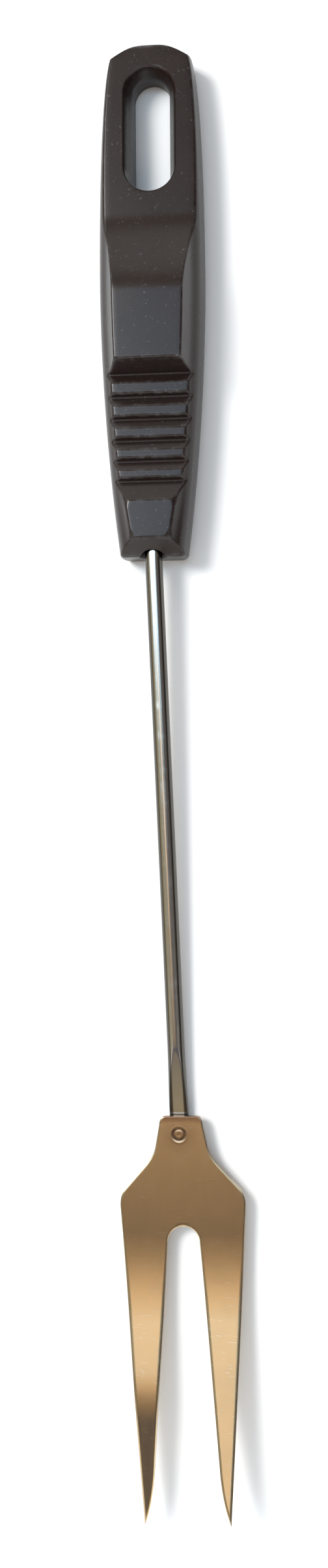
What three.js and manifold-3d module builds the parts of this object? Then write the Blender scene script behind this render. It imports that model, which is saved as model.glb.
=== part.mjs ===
// A two-tine roasting fork: a moulded handle, a round steel shank and a stamped steel head.
//
// Millimetres, +Z up. The fork lies on its back: +Y runs towards the hanging end, the tines point
// towards -Y, and +X is to the right as seen from above. The pieces are laid out from the centre of
// the handle's lower end, on the surface that the fork lies on, and the whole fork is then shifted
// so that its origin is the middle of the bottom of its box.

import * as THREE from 'three';
import { mergeVertices } from 'three/addons/utils/BufferGeometryUtils.js';
import Module from 'manifold-3d';

const wasm = await Module();
wasm.setup();

// Space left between two pieces that touch on the real fork.
const GAP = 0.3;
// How far a cutting solid runs past the face that it cuts.
const PAST = 2;

// Handle outline, seen from above.
const HANDLE_LENGTH = 117;
const HANDLE_END_WIDTH = 15.8;
const HANDLE_BELLY_WIDTH = 24.3;
const HANDLE_BELLY_FROM_END = 63.4;
const HANDLE_CORNER_WIDTH = 19;
const HANDLE_DOME_RISE = 3;
const HANDLE_END_ROUND = 0.9;

// Handle section, seen from the end: round sides up to a shoulder, then the drafted sides of the
// raised pads.
const WIDEST_HEIGHT = 5;
const BACK_ROUND = 2;
const SHOULDER_HEIGHT = 11;
const SHOULDER_INSET = 2.2;
const PAD_INSET = 4.1;

// Handle top, seen from the side, going up from the lower end.
const END_HEIGHT = 8;
const LOWER_SLOPE = 3.8;
const LOWER_PAD_HEIGHT = 13.5;
const LOWER_PAD_LENGTH = 8.4;
const LOWER_RAMP = 4.7;
const GROOVE_HEIGHT = 10.7;
const RIB_COUNT = 5;
const RIB_HEIGHT = 1.3;
const RIB_PITCH = 5.25;
const RIB_PITCH_DROP = 0.19;
const RIB_SLOPE = 2.15;
const RIB_RISER = 0.75;
const PAD_HEIGHT = 16.4;
const PAD_STEP = 2.5;
const PAD_LENGTH = 15.4;
const HANGING_HEIGHT = 8.8;
const HANGING_EDGE_ROUND = 0.8;
// The long face climbs gently, by this share of its rise, and then swells up to the thumb pad.
const FACE_GENTLE_SHARE = 0.33;
const FACE_SWELL_START = 0.68;

// Hanging slot and the funnel round its upper rim.
const SLOT_WIDTH = 8.5;
const SLOT_LENGTH = 27.2;
const SLOT_FROM_TOP = 6.7;
const FUNNEL_FLOOR = 5;
const FUNNEL_SIDE = 1.67;
const FUNNEL_TOP = 1.5;

// Shank: a tang inside the handle, and a rod that leans and drops towards the head.
const SHANK_DIAMETER = 4;
const SHANK_LENGTH = 141;
const SHANK_HEIGHT = 7.2;
const SHANK_DROP_DEG = 2.4;
const SHANK_LEAN_DEG = 1.9;
const TANG_LENGTH = 48;
const TANG_WING_WIDTH = 5.6;
const TANG_WING_THICKNESS = 2.6;
const TANG_WING_LENGTH = 12;
const SOCKET_DIAMETER = 6;
const SOCKET_DEPTH = 3;

// Flattened end of the shank, under the head.
const FLAT_THICKNESS = 2.4;
const FLAT_LAP = 12.4;
const FLAT_RUN = 16;
const FLAT_SPREAD = 0.1;

// Head: one plate, with a neck, two shoulders and two tines.
const PLATE_THICKNESS = 1.4;
const HEAD_LENGTH = 92.4;
const HEAD_LEAN_DEG = 1;
const HEAD_OFFSET = 0.5;
const NECK_TOP_WIDTH = 7.2;
const NECK_UPPER_WIDTH = 10;
const NECK_LOWER_WIDTH = 11.9;
const NECK_CORNER = 1.9;
const NECK_LENGTH = 6.8;
const SHOULDER_START = 11.3;
const SHOULDER_START_WIDTH = 16.8;
const SHOULDER_END = 16.9;
const HEAD_WIDTH = 29;
const HEAD_WIDTH_FROM_TOP = 20.6;
const TIP_SPAN = 20.2;
const TINE_GAP_ROOT = 7.5;
const TINE_GAP_FROM_TOP = 25.3;
const TINE_GAP_TAPER_DEG = 4.3;
const TIP_CURVE_LENGTH = 13.5;
const FLAT_PART_OF_HEAD = 27;
const TINE_BEND_LENGTH = 20;
const TINE_SLOPE_DEG = 7;

// Weld between the head and the flattened end of the shank.
const WELD_DIAMETER = 3.2;
const WELD_FROM_EDGE = 4.2;
const WELD_POCKET = 0.5;
const WELD_DENT = 0.15;

const ROUND_SEGMENTS = 32;
const CURVE_SEGMENTS = 10;

const shankRadius = SHANK_DIAMETER / 2;
const shankDrop = THREE.MathUtils.degToRad(SHANK_DROP_DEG);
const shankLean = THREE.MathUtils.degToRad(SHANK_LEAN_DEG);
const headLean = THREE.MathUtils.degToRad(HEAD_LEAN_DEG);

// --- Solids -------------------------------------------------------------------------------------

function solidOf(geometry) {
  const bare = geometry.clone();
  bare.deleteAttribute('normal');
  bare.deleteAttribute('uv');
  const merged = mergeVertices(bare);
  const vertProperties = new Float32Array(merged.attributes.position.array);
  const triVerts = new Uint32Array(merged.index.array);
  return new wasm.Manifold(new wasm.Mesh({ numProp: 3, vertProperties, triVerts }));
}

function geometryOf(solid) {
  const { vertProperties, triVerts } = solid.getMesh();
  const geometry = new THREE.BufferGeometry();
  geometry.setAttribute('position', new THREE.BufferAttribute(new Float32Array(vertProperties), 3));
  geometry.setIndex(new THREE.BufferAttribute(new Uint32Array(triVerts), 1));
  geometry.computeVertexNormals();
  return geometry;
}

function box(width, length, height, x, y, z) {
  return solidOf(new THREE.BoxGeometry(width, length, height).translate(x, y, z));
}

// An upright cylinder from one height to another.
function post(diameter, x, y, low, high) {
  const shape = new THREE.CylinderGeometry(diameter / 2, diameter / 2, high - low, ROUND_SEGMENTS);
  return solidOf(shape.rotateX(Math.PI / 2).translate(x, y, (low + high) / 2));
}

// A round bar along Y, at the height of the shank.
function bar(diameter, fromY, toY) {
  const shape = new THREE.CylinderGeometry(diameter / 2, diameter / 2, toY - fromY, ROUND_SEGMENTS);
  return solidOf(shape.translate(0, (fromY + toY) / 2, SHANK_HEIGHT));
}

// A side profile, drawn with Y along the fork and Z up, run across the fork's width.
function acrossFork(profile, width) {
  const turned = new THREE.Matrix4().makeBasis(
    new THREE.Vector3(0, 1, 0),
    new THREE.Vector3(0, 0, 1),
    new THREE.Vector3(1, 0, 0),
  );
  const settings = { depth: width, bevelEnabled: false, curveSegments: CURVE_SEGMENTS };
  const geometry = new THREE.ExtrudeGeometry(profile, settings).translate(0, 0, -width / 2);
  return solidOf(geometry.applyMatrix4(turned));
}

function moveVertices(geometry, move) {
  const place = geometry.attributes.position;
  const point = new THREE.Vector3();
  for (let i = 0; i < place.count; i += 1) {
    move(point.fromBufferAttribute(place, i));
    place.setXYZ(i, point.x, point.y, point.z);
  }
  return geometry;
}

// --- Handle -------------------------------------------------------------------------------------

const lowerPadStart = LOWER_SLOPE;
const lowerPadEnd = lowerPadStart + LOWER_PAD_LENGTH;
const ribsStart = lowerPadEnd + LOWER_RAMP;
const ribsLength = RIB_COUNT * RIB_PITCH - (RIB_PITCH_DROP * RIB_COUNT * (RIB_COUNT - 1)) / 2;
const ribsEnd = ribsStart + ribsLength;
const padStart = ribsEnd + PAD_STEP;
const padEnd = padStart + PAD_LENGTH;

// Height of the long face between the thumb pad and the hanging end.
function faceHeight(y) {
  const along = (HANDLE_LENGTH - y) / (HANDLE_LENGTH - padEnd);
  const gentle = FACE_GENTLE_SHARE * along;
  const swell = (1 - FACE_GENTLE_SHARE) * THREE.MathUtils.smoothstep(along, FACE_SWELL_START, 1);
  return HANGING_HEIGHT + (PAD_HEIGHT - HANGING_HEIGHT) * (gentle + swell);
}

function handleOutline() {
  const end = HANDLE_END_WIDTH / 2;
  const belly = HANDLE_BELLY_WIDTH / 2;
  const bellyY = HANDLE_BELLY_FROM_END;
  const corner = HANDLE_CORNER_WIDTH / 2;
  const cornerY = HANDLE_LENGTH - HANDLE_DOME_RISE;
  const upper = cornerY - bellyY;
  const domeRadius = (corner ** 2 + HANDLE_DOME_RISE ** 2) / (2 * HANDLE_DOME_RISE);
  const domeAngle = Math.asin(corner / domeRadius);
  const lowFullness = end + 0.66 * (belly - end);
  const highFullness = corner + 0.68 * (belly - corner);
  const up = Math.PI / 2;

  const outline = new THREE.Shape();
  outline.moveTo(end - HANDLE_END_ROUND, 0);
  outline.quadraticCurveTo(end, 0, end, HANDLE_END_ROUND);
  outline.bezierCurveTo(lowFullness, 0.34 * bellyY, belly, 0.72 * bellyY, belly, bellyY);
  outline.bezierCurveTo(
    belly, bellyY + 0.44 * upper,
    highFullness, bellyY + 0.88 * upper,
    corner, cornerY,
  );
  outline.absarc(0, HANDLE_LENGTH - domeRadius, domeRadius, up - domeAngle, up + domeAngle, false);
  outline.bezierCurveTo(
    -highFullness, bellyY + 0.88 * upper,
    -belly, bellyY + 0.44 * upper,
    -belly, bellyY,
  );
  outline.bezierCurveTo(-belly, 0.72 * bellyY, -lowFullness, 0.34 * bellyY, -end, HANDLE_END_ROUND);
  outline.quadraticCurveTo(-end, 0, -end + HANDLE_END_ROUND, 0);
  return outline;
}

// Heights up the side of the handle, each with how far the side has drawn in there.
function sideLevels() {
  const levels = [];
  const backSteps = 4;
  const frontSteps = 5;
  for (let i = 0; i < backSteps; i += 1) {
    const angle = (Math.PI / 2) * (1 - i / backSteps);
    levels.push({
      height: WIDEST_HEIGHT * (1 - Math.sin(angle)),
      inset: BACK_ROUND * (1 - Math.cos(angle)),
    });
  }
  for (let i = 0; i <= frontSteps; i += 1) {
    const angle = (Math.PI / 2) * (i / frontSteps);
    levels.push({
      height: WIDEST_HEIGHT + (SHOULDER_HEIGHT - WIDEST_HEIGHT) * Math.sin(angle),
      inset: SHOULDER_INSET * (1 - Math.cos(angle)),
    });
  }
  levels.push({ height: PAD_HEIGHT, inset: PAD_INSET });
  return levels;
}

// The handle's outline raised level by level, with its sides drawn in towards the middle.
function handleBlank() {
  const levels = sideLevels();
  const steps = levels.length - 1;
  const settings = { depth: steps, steps, bevelEnabled: false, curveSegments: CURVE_SEGMENTS };
  const geometry = new THREE.ExtrudeGeometry(handleOutline(), settings);
  const end = HANDLE_END_WIDTH / 2;
  moveVertices(geometry, (point) => {
    const level = levels[Math.round(point.z)];
    point.x -= level.inset * THREE.MathUtils.clamp(point.x / end, -1, 1);
    point.z = level.height;
  });
  return solidOf(geometry);
}

function handleSideProfile() {
  const ribTop = GROOVE_HEIGHT + RIB_HEIGHT;
  const profile = new THREE.Shape();
  profile.moveTo(-PAST, -PAST);
  profile.lineTo(HANDLE_LENGTH + PAST, -PAST);
  profile.lineTo(HANDLE_LENGTH + PAST, HANGING_HEIGHT - HANGING_EDGE_ROUND - PAST);
  profile.lineTo(HANDLE_LENGTH - HANGING_EDGE_ROUND, faceHeight(HANDLE_LENGTH - HANGING_EDGE_ROUND));
  const faceSteps = 3 * CURVE_SEGMENTS;
  for (let i = 1; i <= faceSteps; i += 1) {
    const start = HANDLE_LENGTH - HANGING_EDGE_ROUND;
    const y = THREE.MathUtils.lerp(start, padEnd, i / faceSteps);
    profile.lineTo(y, faceHeight(y));
  }
  profile.lineTo(padStart, PAD_HEIGHT);
  let y = ribsEnd;
  for (let i = 0; i < RIB_COUNT; i += 1) {
    const pitch = RIB_PITCH - RIB_PITCH_DROP * i;
    profile.lineTo(y, GROOVE_HEIGHT);
    profile.lineTo(y - RIB_SLOPE, ribTop);
    profile.lineTo(y - pitch + RIB_RISER, ribTop);
    y -= pitch;
  }
  profile.lineTo(ribsStart, GROOVE_HEIGHT);
  profile.lineTo(lowerPadEnd, LOWER_PAD_HEIGHT);
  profile.lineTo(lowerPadStart, LOWER_PAD_HEIGHT);
  profile.lineTo(0, END_HEIGHT);
  profile.lineTo(-PAST, END_HEIGHT);
  return profile;
}

// A long hole with round ends, from one height to another.
function slotGeometry(width, lowY, highY) {
  const radius = width / 2;
  const shape = new THREE.Shape();
  shape.absarc(0, highY - radius, radius, 0, Math.PI, false);
  shape.absarc(0, lowY + radius, radius, Math.PI, 2 * Math.PI, false);
  return new THREE.ExtrudeGeometry(shape, { depth: 1, bevelEnabled: false, curveSegments: 12 });
}

function slotCut() {
  const highY = HANDLE_LENGTH - SLOT_FROM_TOP;
  const lowY = highY - SLOT_LENGTH;
  const middleY = (lowY + highY) / 2;
  const radius = SLOT_WIDTH / 2;
  const rimGrowth = (radius + FUNNEL_SIDE) / radius;
  // The funnel is carried on past the face, so that it cuts the face cleanly.
  const beyond = 1.25;

  const through = moveVertices(slotGeometry(SLOT_WIDTH, lowY, highY), (point) => {
    point.z = point.z < 0.5 ? -PAST : FUNNEL_FLOOR + PAST;
  });
  const funnel = moveVertices(slotGeometry(SLOT_WIDTH, lowY, highY), (point) => {
    if (point.z < 0.5) {
      point.z = FUNNEL_FLOOR;
      return;
    }
    const upperEnd = point.y > middleY;
    const centre = upperEnd ? highY - radius : lowY + radius;
    const rimEnd = upperEnd ? highY + FUNNEL_TOP : lowY;
    const rimRadius = radius * rimGrowth;
    const rimCentre = upperEnd ? rimEnd - rimRadius : rimEnd + rimRadius;
    const rimX = point.x * rimGrowth;
    const rimY = rimCentre + (point.y - centre) * rimGrowth;
    const rimZ = faceHeight(rimY);
    point.x += (rimX - point.x) * beyond;
    point.y += (rimY - point.y) * beyond;
    point.z = FUNNEL_FLOOR + (rimZ - FUNNEL_FLOOR) * beyond;
  });
  return solidOf(through).add(solidOf(funnel));
}

// The tang and its flattened wings, grown by a margin on every side.
function tangSolid(margin) {
  const round = bar(SHANK_DIAMETER + 2 * margin, -margin, TANG_LENGTH + margin);
  const wings = box(
    TANG_WING_WIDTH + 2 * margin,
    TANG_WING_LENGTH + 2 * margin,
    TANG_WING_THICKNESS + 2 * margin,
    0,
    TANG_LENGTH - 1.5 * TANG_WING_LENGTH,
    SHANK_HEIGHT,
  );
  return round.add(wings);
}

function handleGeometry() {
  return geometryOf(
    handleBlank()
      .intersect(acrossFork(handleSideProfile(), 2 * HANDLE_BELLY_WIDTH))
      .subtract(slotCut())
      .subtract(tangSolid(GAP))
      .subtract(bar(SOCKET_DIAMETER, -PAST, SOCKET_DEPTH)),
  );
}

// --- Shank --------------------------------------------------------------------------------------

// Middle of the rod at a distance down the fork from the handle's lower end.
function shankX(y) {
  return -y * Math.tan(shankLean);
}

function shankZ(y) {
  return SHANK_HEIGHT + y * Math.tan(shankDrop);
}

const plateTopY = FLAT_LAP - SHANK_LENGTH;
const flatStartY = plateTopY + FLAT_RUN;

// The rod below the handle, spread sideways where its end is pressed flat.
function rodSolid() {
  const lengthSteps = 36;
  const direction = new THREE.Vector3(shankX(-SHANK_LENGTH), -SHANK_LENGTH, shankZ(-SHANK_LENGTH));
  direction.z -= SHANK_HEIGHT;
  const length = direction.length() + PAST;
  const shape = new THREE.CylinderGeometry(
    shankRadius, shankRadius, length, ROUND_SEGMENTS, lengthSteps,
  ).translate(0, -length / 2, 0);
  moveVertices(shape, (point) => {
    const pressed = THREE.MathUtils.smoothstep(-point.y, -flatStartY, -plateTopY);
    point.x *= 1 + FLAT_SPREAD * pressed;
  });
  const down = new THREE.Vector3(0, -1, 0);
  const turn = new THREE.Quaternion().setFromUnitVectors(down, direction.clone().normalize());
  return solidOf(shape.applyQuaternion(turn).translate(0, 0, SHANK_HEIGHT));
}

// What pressing takes off the top of the rod: a long facet, and then the seat of the head.
function flatCut() {
  const high = SHANK_HEIGHT + PAST;
  const beyond = -SHANK_LENGTH - 2 * PAST;
  const profile = new THREE.Shape();
  profile.moveTo(flatStartY, shankZ(flatStartY) + shankRadius);
  profile.lineTo(flatStartY, high);
  profile.lineTo(beyond, high);
  profile.lineTo(beyond, FLAT_THICKNESS);
  profile.lineTo(plateTopY, FLAT_THICKNESS);
  return acrossFork(profile, 3 * SHANK_LENGTH);
}

function shankGeometry(weld) {
  const bend = new THREE.SphereGeometry(shankRadius, ROUND_SEGMENTS, ROUND_SEGMENTS / 2);
  const below = box(SHANK_LENGTH, 3 * SHANK_LENGTH, 2 * PAST, 0, 0, -PAST);
  const beyond = box(SHANK_LENGTH, SHANK_LENGTH, SHANK_LENGTH, 0, -1.5 * SHANK_LENGTH, 0);
  const pocketFloor = FLAT_THICKNESS - WELD_POCKET;
  return geometryOf(
    rodSolid()
      .add(solidOf(bend.translate(0, 0, SHANK_HEIGHT)))
      .add(tangSolid(0))
      .subtract(flatCut())
      .subtract(below)
      .subtract(beyond)
      .subtract(post(WELD_DIAMETER + 2 * GAP, weld.x, weld.y, pocketFloor, FLAT_THICKNESS + PAST)),
  );
}

// --- Head ---------------------------------------------------------------------------------------

const plateUnderside = FLAT_THICKNESS + GAP;
const plateFront = plateUnderside + PLATE_THICKNESS;

// Half of the outline, from the middle of the neck's top edge down the outside to the tip and back
// up the inside to the root of the gap. The other half is its mirror image.
function halfHeadPath(side) {
  const gapRadius = TINE_GAP_ROOT / 2;
  const gapCentre = -TINE_GAP_FROM_TOP - gapRadius;
  const tipCurveStart = -HEAD_LENGTH + TIP_CURVE_LENGTH;
  const taper = Math.tan(THREE.MathUtils.degToRad(TINE_GAP_TAPER_DEG));
  const inner = gapRadius + (gapCentre - tipCurveStart) * taper;
  const tip = TIP_SPAN / 2;
  const shoulderEnd = SHOULDER_START_WIDTH / 2 + (SHOULDER_END - SHOULDER_START) * 0.9;
  const half = new THREE.Path();
  half.moveTo(0, 0);
  half.lineTo((side * NECK_TOP_WIDTH) / 2, 0);
  half.quadraticCurveTo(side * NECK_UPPER_WIDTH * 0.49, 0, (side * NECK_UPPER_WIDTH) / 2, -NECK_CORNER);
  half.lineTo((side * NECK_LOWER_WIDTH) / 2, -NECK_LENGTH);
  half.quadraticCurveTo(
    side * (NECK_LOWER_WIDTH / 2 + 0.5), -NECK_LENGTH - 2.3,
    (side * SHOULDER_START_WIDTH) / 2, -SHOULDER_START,
  );
  half.lineTo(side * shoulderEnd, -SHOULDER_END);
  half.quadraticCurveTo(
    (side * HEAD_WIDTH) / 2, -SHOULDER_END - 1.2,
    (side * HEAD_WIDTH) / 2, -HEAD_WIDTH_FROM_TOP,
  );
  half.lineTo(side * tip, -HEAD_LENGTH);
  half.quadraticCurveTo(
    side * (inner + 0.2 * (tip - inner)), tipCurveStart - 0.62 * TIP_CURVE_LENGTH,
    side * inner, tipCurveStart,
  );
  half.lineTo(side * gapRadius, gapCentre);
  return half;
}

function headOutline() {
  const right = halfHeadPath(1).getPoints(CURVE_SEGMENTS);
  const left = halfHeadPath(-1).getPoints(CURVE_SEGMENTS).reverse();
  const gapRadius = TINE_GAP_ROOT / 2;
  const gapArch = new THREE.Path();
  gapArch.absarc(0, -TINE_GAP_FROM_TOP - gapRadius, gapRadius, 0, Math.PI, false);
  const arch = gapArch.getPoints(CURVE_SEGMENTS).slice(1, -1);
  return new THREE.Shape([...right, ...arch, ...left.slice(0, -1)]);
}

const tineSlope = Math.tan(THREE.MathUtils.degToRad(TINE_SLOPE_DEG));

// How far the tines have risen at a distance past the middle of their bend.
const riseAfter = (distance) => distance * tineSlope;

// The plate seen from the side: flat at the neck, then an even bend and tines that rise to the tips.
function plateProfile() {
  const start = -FLAT_PART_OF_HEAD;
  const bendMiddle = start - TINE_BEND_LENGTH / 2;
  const bendEnd = start - TINE_BEND_LENGTH;
  const end = -HEAD_LENGTH - PAST;
  const endRise = riseAfter(bendMiddle - end);
  const bendRise = riseAfter(bendMiddle - bendEnd);
  const profile = new THREE.Shape();
  profile.moveTo(PAST, plateUnderside);
  profile.lineTo(PAST, plateFront);
  profile.lineTo(start, plateFront);
  profile.quadraticCurveTo(bendMiddle, plateFront, bendEnd, plateFront + bendRise);
  profile.lineTo(end, plateFront + endRise);
  profile.lineTo(end, plateUnderside + endRise);
  profile.lineTo(bendEnd, plateUnderside + bendRise);
  profile.quadraticCurveTo(bendMiddle, plateUnderside, start, plateUnderside);
  return profile;
}

// The weld's place, measured in the plate from the middle of the neck's top edge.
const weldInHead = new THREE.Vector2(-HEAD_OFFSET, -WELD_FROM_EDGE);

function headGeometry() {
  const tall = plateFront + riseAfter(HEAD_LENGTH) + PAST;
  const outline = new THREE.ExtrudeGeometry(headOutline(), { depth: tall, bevelEnabled: false });
  const pocketTop = plateUnderside + WELD_POCKET;
  const { x, y } = weldInHead;
  return geometryOf(
    solidOf(outline)
      .intersect(acrossFork(plateProfile(), 2 * HEAD_WIDTH))
      .subtract(post(WELD_DIAMETER + 2 * GAP, x, y, plateUnderside - PAST, pocketTop))
      .subtract(post(WELD_DIAMETER, x, y, plateFront - WELD_DENT, plateFront + PAST)),
  );
}

// --- Weld ---------------------------------------------------------------------------------------

// The lens of fused steel between the plate and the shank, which are both hollowed to take it.
function weldGeometry() {
  const half = GAP / 2 + WELD_POCKET - GAP;
  const radius = WELD_DIAMETER / 2;
  const profile = [
    new THREE.Vector2(0, -half),
    new THREE.Vector2(0.7 * radius, -half),
    new THREE.Vector2(radius, 0),
    new THREE.Vector2(0.7 * radius, half),
    new THREE.Vector2(0, half),
  ];
  return new THREE.LatheGeometry(profile, ROUND_SEGMENTS).rotateX(Math.PI / 2);
}

// --- Assembly -----------------------------------------------------------------------------------

function steel(colour, roughness) {
  return new THREE.MeshStandardMaterial({ color: colour, roughness, metalness: 1 });
}

function piece(name, geometry, material) {
  const mesh = new THREE.Mesh(geometry, material);
  mesh.name = name;
  return mesh;
}

const weldTurned = weldInHead.clone().rotateAround(new THREE.Vector2(0, 0), headLean);
const weldY = plateTopY + weldTurned.y;
const weldAt = new THREE.Vector2(shankX(weldY), weldY);

const phenolic = new THREE.MeshStandardMaterial({ color: '#3e3531', roughness: 0.55, metalness: 0 });
const handle = piece('handle', handleGeometry(), phenolic);
const shank = piece('shank', shankGeometry(weldAt), steel('#b9b2a4', 0.18));

const forkHead = piece('fork_head', headGeometry(), steel('#b39a72', 0.32));
forkHead.position.set(weldAt.x - weldTurned.x, plateTopY, 0);
forkHead.rotation.z = headLean;

const weld = piece('weld_nugget', weldGeometry(), steel('#7d6a58', 0.5));
weld.position.set(weldAt.x, weldAt.y, FLAT_THICKNESS + GAP / 2);

const assembly = new THREE.Group();
assembly.add(handle, shank, forkHead, weld);

const bounds = new THREE.Box3().setFromObject(assembly, true);
const middle = bounds.getCenter(new THREE.Vector3());
assembly.position.set(-middle.x, -middle.y, -bounds.min.z);

const fork = new THREE.Group();
fork.add(assembly);

export default fork;
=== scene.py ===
import math

import bmesh
import bpy
import numpy as np
from bpy.props import FloatProperty, FloatVectorProperty, IntProperty, PointerProperty
from bpy.types import Operator, Panel, PropertyGroup
from mathutils import Matrix, Vector


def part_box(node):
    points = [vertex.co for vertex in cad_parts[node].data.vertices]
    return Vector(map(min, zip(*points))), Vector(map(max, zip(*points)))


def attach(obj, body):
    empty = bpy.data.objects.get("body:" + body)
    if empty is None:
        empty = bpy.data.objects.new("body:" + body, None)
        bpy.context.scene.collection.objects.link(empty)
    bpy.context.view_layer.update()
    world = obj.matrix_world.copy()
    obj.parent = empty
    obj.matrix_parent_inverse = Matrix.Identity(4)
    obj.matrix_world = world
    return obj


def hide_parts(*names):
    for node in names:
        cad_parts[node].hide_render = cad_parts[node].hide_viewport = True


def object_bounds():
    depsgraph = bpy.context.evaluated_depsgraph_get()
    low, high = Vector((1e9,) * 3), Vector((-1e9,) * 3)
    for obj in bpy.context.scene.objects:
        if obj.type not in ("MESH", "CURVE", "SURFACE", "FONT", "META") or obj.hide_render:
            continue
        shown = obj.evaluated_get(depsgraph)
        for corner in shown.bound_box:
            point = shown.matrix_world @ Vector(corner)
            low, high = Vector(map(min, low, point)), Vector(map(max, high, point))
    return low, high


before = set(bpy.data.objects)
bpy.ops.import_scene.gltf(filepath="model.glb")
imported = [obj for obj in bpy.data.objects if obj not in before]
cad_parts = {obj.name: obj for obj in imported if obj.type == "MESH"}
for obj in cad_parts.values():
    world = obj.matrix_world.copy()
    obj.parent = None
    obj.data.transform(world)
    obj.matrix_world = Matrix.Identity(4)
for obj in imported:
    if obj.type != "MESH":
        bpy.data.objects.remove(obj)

CAD_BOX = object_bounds()

bl_info = {
    "name": "Two-Tine Roasting Fork",
    "version": (1, 0, 0),
    "blender": (4, 5, 0),
    "location": "View3D > Sidebar > Fork",
    "description": "Builds a roasting fork: ribbed handle, drawn steel shank and stamped steel head",
    "category": "Add Mesh",
}

MM = 0.001

# Angles of the points round a bar or a hole
AROUND = np.linspace(0, 2 * math.pi, 65)[:-1]

# Height above the back, and how far the handle's side has drawn in there, in millimetres
SIDE_SECTION = [
    (5.0, 0.0), (7.0, 0.15), (8.6, 0.5), (9.8, 1.0),
    (10.8, 1.75), (11.6, 2.4), (13.0, 2.95), (16.4, 4.1),
]

# How near to its corners the lower pad's edges get rounder, and by how much
PAD_CORNER_RUN = 1.6 * MM
PAD_CORNER_GAIN = 1.4

# Run of the pressed end's rounding, run of the slopes beside the wings, and draw of the tang's tip
END_ROUND = 1.2 * MM
WING_RUN = 1.5 * MM
TIP_DRAW = 0.4 * MM

# Radius of the weld mark's ring as a share of its width, and the tint where the back is blued
WELD_RING = 0.4
BACK_TINT = 0.8

# Where the camera looks, and where the key light stands from the middle of the fork
CAMERA_AIM = (-2.05 * MM, 0.15 * MM, 5.0 * MM)
KEY_DIRECTION = (-0.62, 0.42, 1.00)
KEY_DISTANCE = 1.4
KEY_SIDE = 0.42
KEY_TINT = (1.0, 0.97, 0.93)

# Soft edges of the dome's cards: where a part of the unit direction starts and ends its change.
# A card between two edges has a pair. The near end, the near light and the right card's Y count
# towards the tines, and the left cards' X counts towards the left.
RAISED_Z = (0.20, 0.42)
OVERHEAD_X = (-0.45, -0.10)
RIGHT_X = (0.0, 0.30)
FAR_END_Y = (0.40, 0.60)
NEAR_END_Y = (0.40, 0.43)
DARK_CARD_Y = ((-0.42, -0.39), (-0.295, -0.262))
TINE_CARD_X = ((-0.24, -0.16), (-0.06, 0.0))
TINE_CARD_Y = ((-0.182, -0.125), (0.0, 0.06))
HANDLE_CARD_X = ((-0.85, -0.60), (0.20, 0.50))
HANDLE_CARD_Y = ((-0.02, 0.06), (0.23, 0.30))
LEFT_CARDS_X = (0.45, 0.65)
LEFT_CARDS_Y_SQUARED = (0.05, 0.14)
RIGHT_CARD_X = (0.40, 0.60)
RIGHT_CARD_Y = (0.22, 0.37)
FAR_LIGHT_Y = (0.66, 0.82)
NEAR_LIGHT_Y = (0.50, 0.66)


# --- Sizes and colours ---


def length(name, description, millimetres):
    value = millimetres * MM
    return FloatProperty(
        name=name, description=description, default=value, min=0.0, precision=5, unit="LENGTH"
    )


def degrees(name, description, value):
    angle = math.radians(value)
    return FloatProperty(name=name, description=description, default=angle, subtype="ANGLE")


def colour(name, description, *rgb):
    return FloatVectorProperty(
        name=name, description=description, default=rgb, min=0.0, max=1.0, subtype="COLOR"
    )


def number(name, description, value):
    return FloatProperty(name=name, description=description, default=value, min=0.0)


def card(name, description, *rgb):
    """A light's colour, which may be brighter than white."""
    return FloatVectorProperty(
        name=name, description=description, default=rgb, min=0.0, soft_max=4.0
    )


class HandleSizes(PropertyGroup):
    """Sizes of the moulded handle. Its length, greatest width and height come from the frame."""

    end_width: length("End width", "Width where the shank leaves the handle", 15.8)
    end_round: length("End corner", "Corner radius of the outline at the shank end", 0.9)
    belly_from_end: length("Belly place", "Distance from the shank end to the widest place", 63.4)
    corner_width: length("Corner width", "Width at the corners of the domed end", 19.0)
    dome_rise: length("Dome rise", "How far the domed end rises between its corners", 3.0)
    widest_height: length("Widest height", "Height of the parting line above the back", 5.0)
    back_round: length("Back round", "How far the sides draw in at the back", 2.0)
    end_height: length("End height", "Height of the end face at the shank", 8.0)
    lower_slope: length("Lower slope", "Run of the slope below the lower pad", 3.8)
    lower_pad_height: length("Lower pad height", "Height of the lower pad", 13.5)
    lower_pad_length: length("Lower pad length", "Length of the lower pad", 8.4)
    lower_pad_draw: length("Lower pad draw", "How far the lower pad's sides draw in", 0.9)
    lower_ramp: length("Lower ramp", "Run of the ramp from the ribs up to the lower pad", 4.7)
    groove_height: length("Groove height", "Height of the grooves between the ribs", 10.7)
    rib_height: length("Rib height", "Height of a rib above its groove", 1.3)
    rib_count: IntProperty(name="Ribs", description="Number of grip ribs", default=5, min=1)
    rib_pitch: length("Rib pitch", "Pitch of the rib next to the thumb pad", 5.25)
    rib_pitch_drop: length("Pitch drop", "How much shorter each next rib is", 0.19)
    rib_slope: length("Rib slope", "Run of the gentle side of a rib", 2.15)
    rib_riser: length("Rib riser", "Run of the steep side of a rib", 0.75)
    pad_step: length("Pad step", "Run of the step below the thumb pad", 2.5)
    pad_length: length("Pad length", "Length of the thumb pad", 15.4)
    hanging_height: length("Hanging height", "Height at the hanging end", 8.8)
    edge_round: length("Edge round", "Radius left on the moulding's upper edges", 0.5)
    slot_width: length("Slot width", "Width of the hanging slot", 8.5)
    slot_length: length("Slot length", "Length of the hanging slot", 27.2)
    slot_from_top: length("Slot place", "Distance from the domed end to the slot", 6.7)
    funnel_floor: length("Funnel floor", "Height where the slot starts to open out", 5.0)
    funnel_side: length("Funnel side", "How much wider the slot's rim is, each side", 1.67)
    funnel_top: length("Funnel top", "How far the slot's rim runs towards the domed end", 1.5)
    socket_width: length("Socket width", "Width of the recess that the shank leaves through", 6.0)
    socket_depth: length("Socket depth", "Depth of that recess", 3.0)


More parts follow.
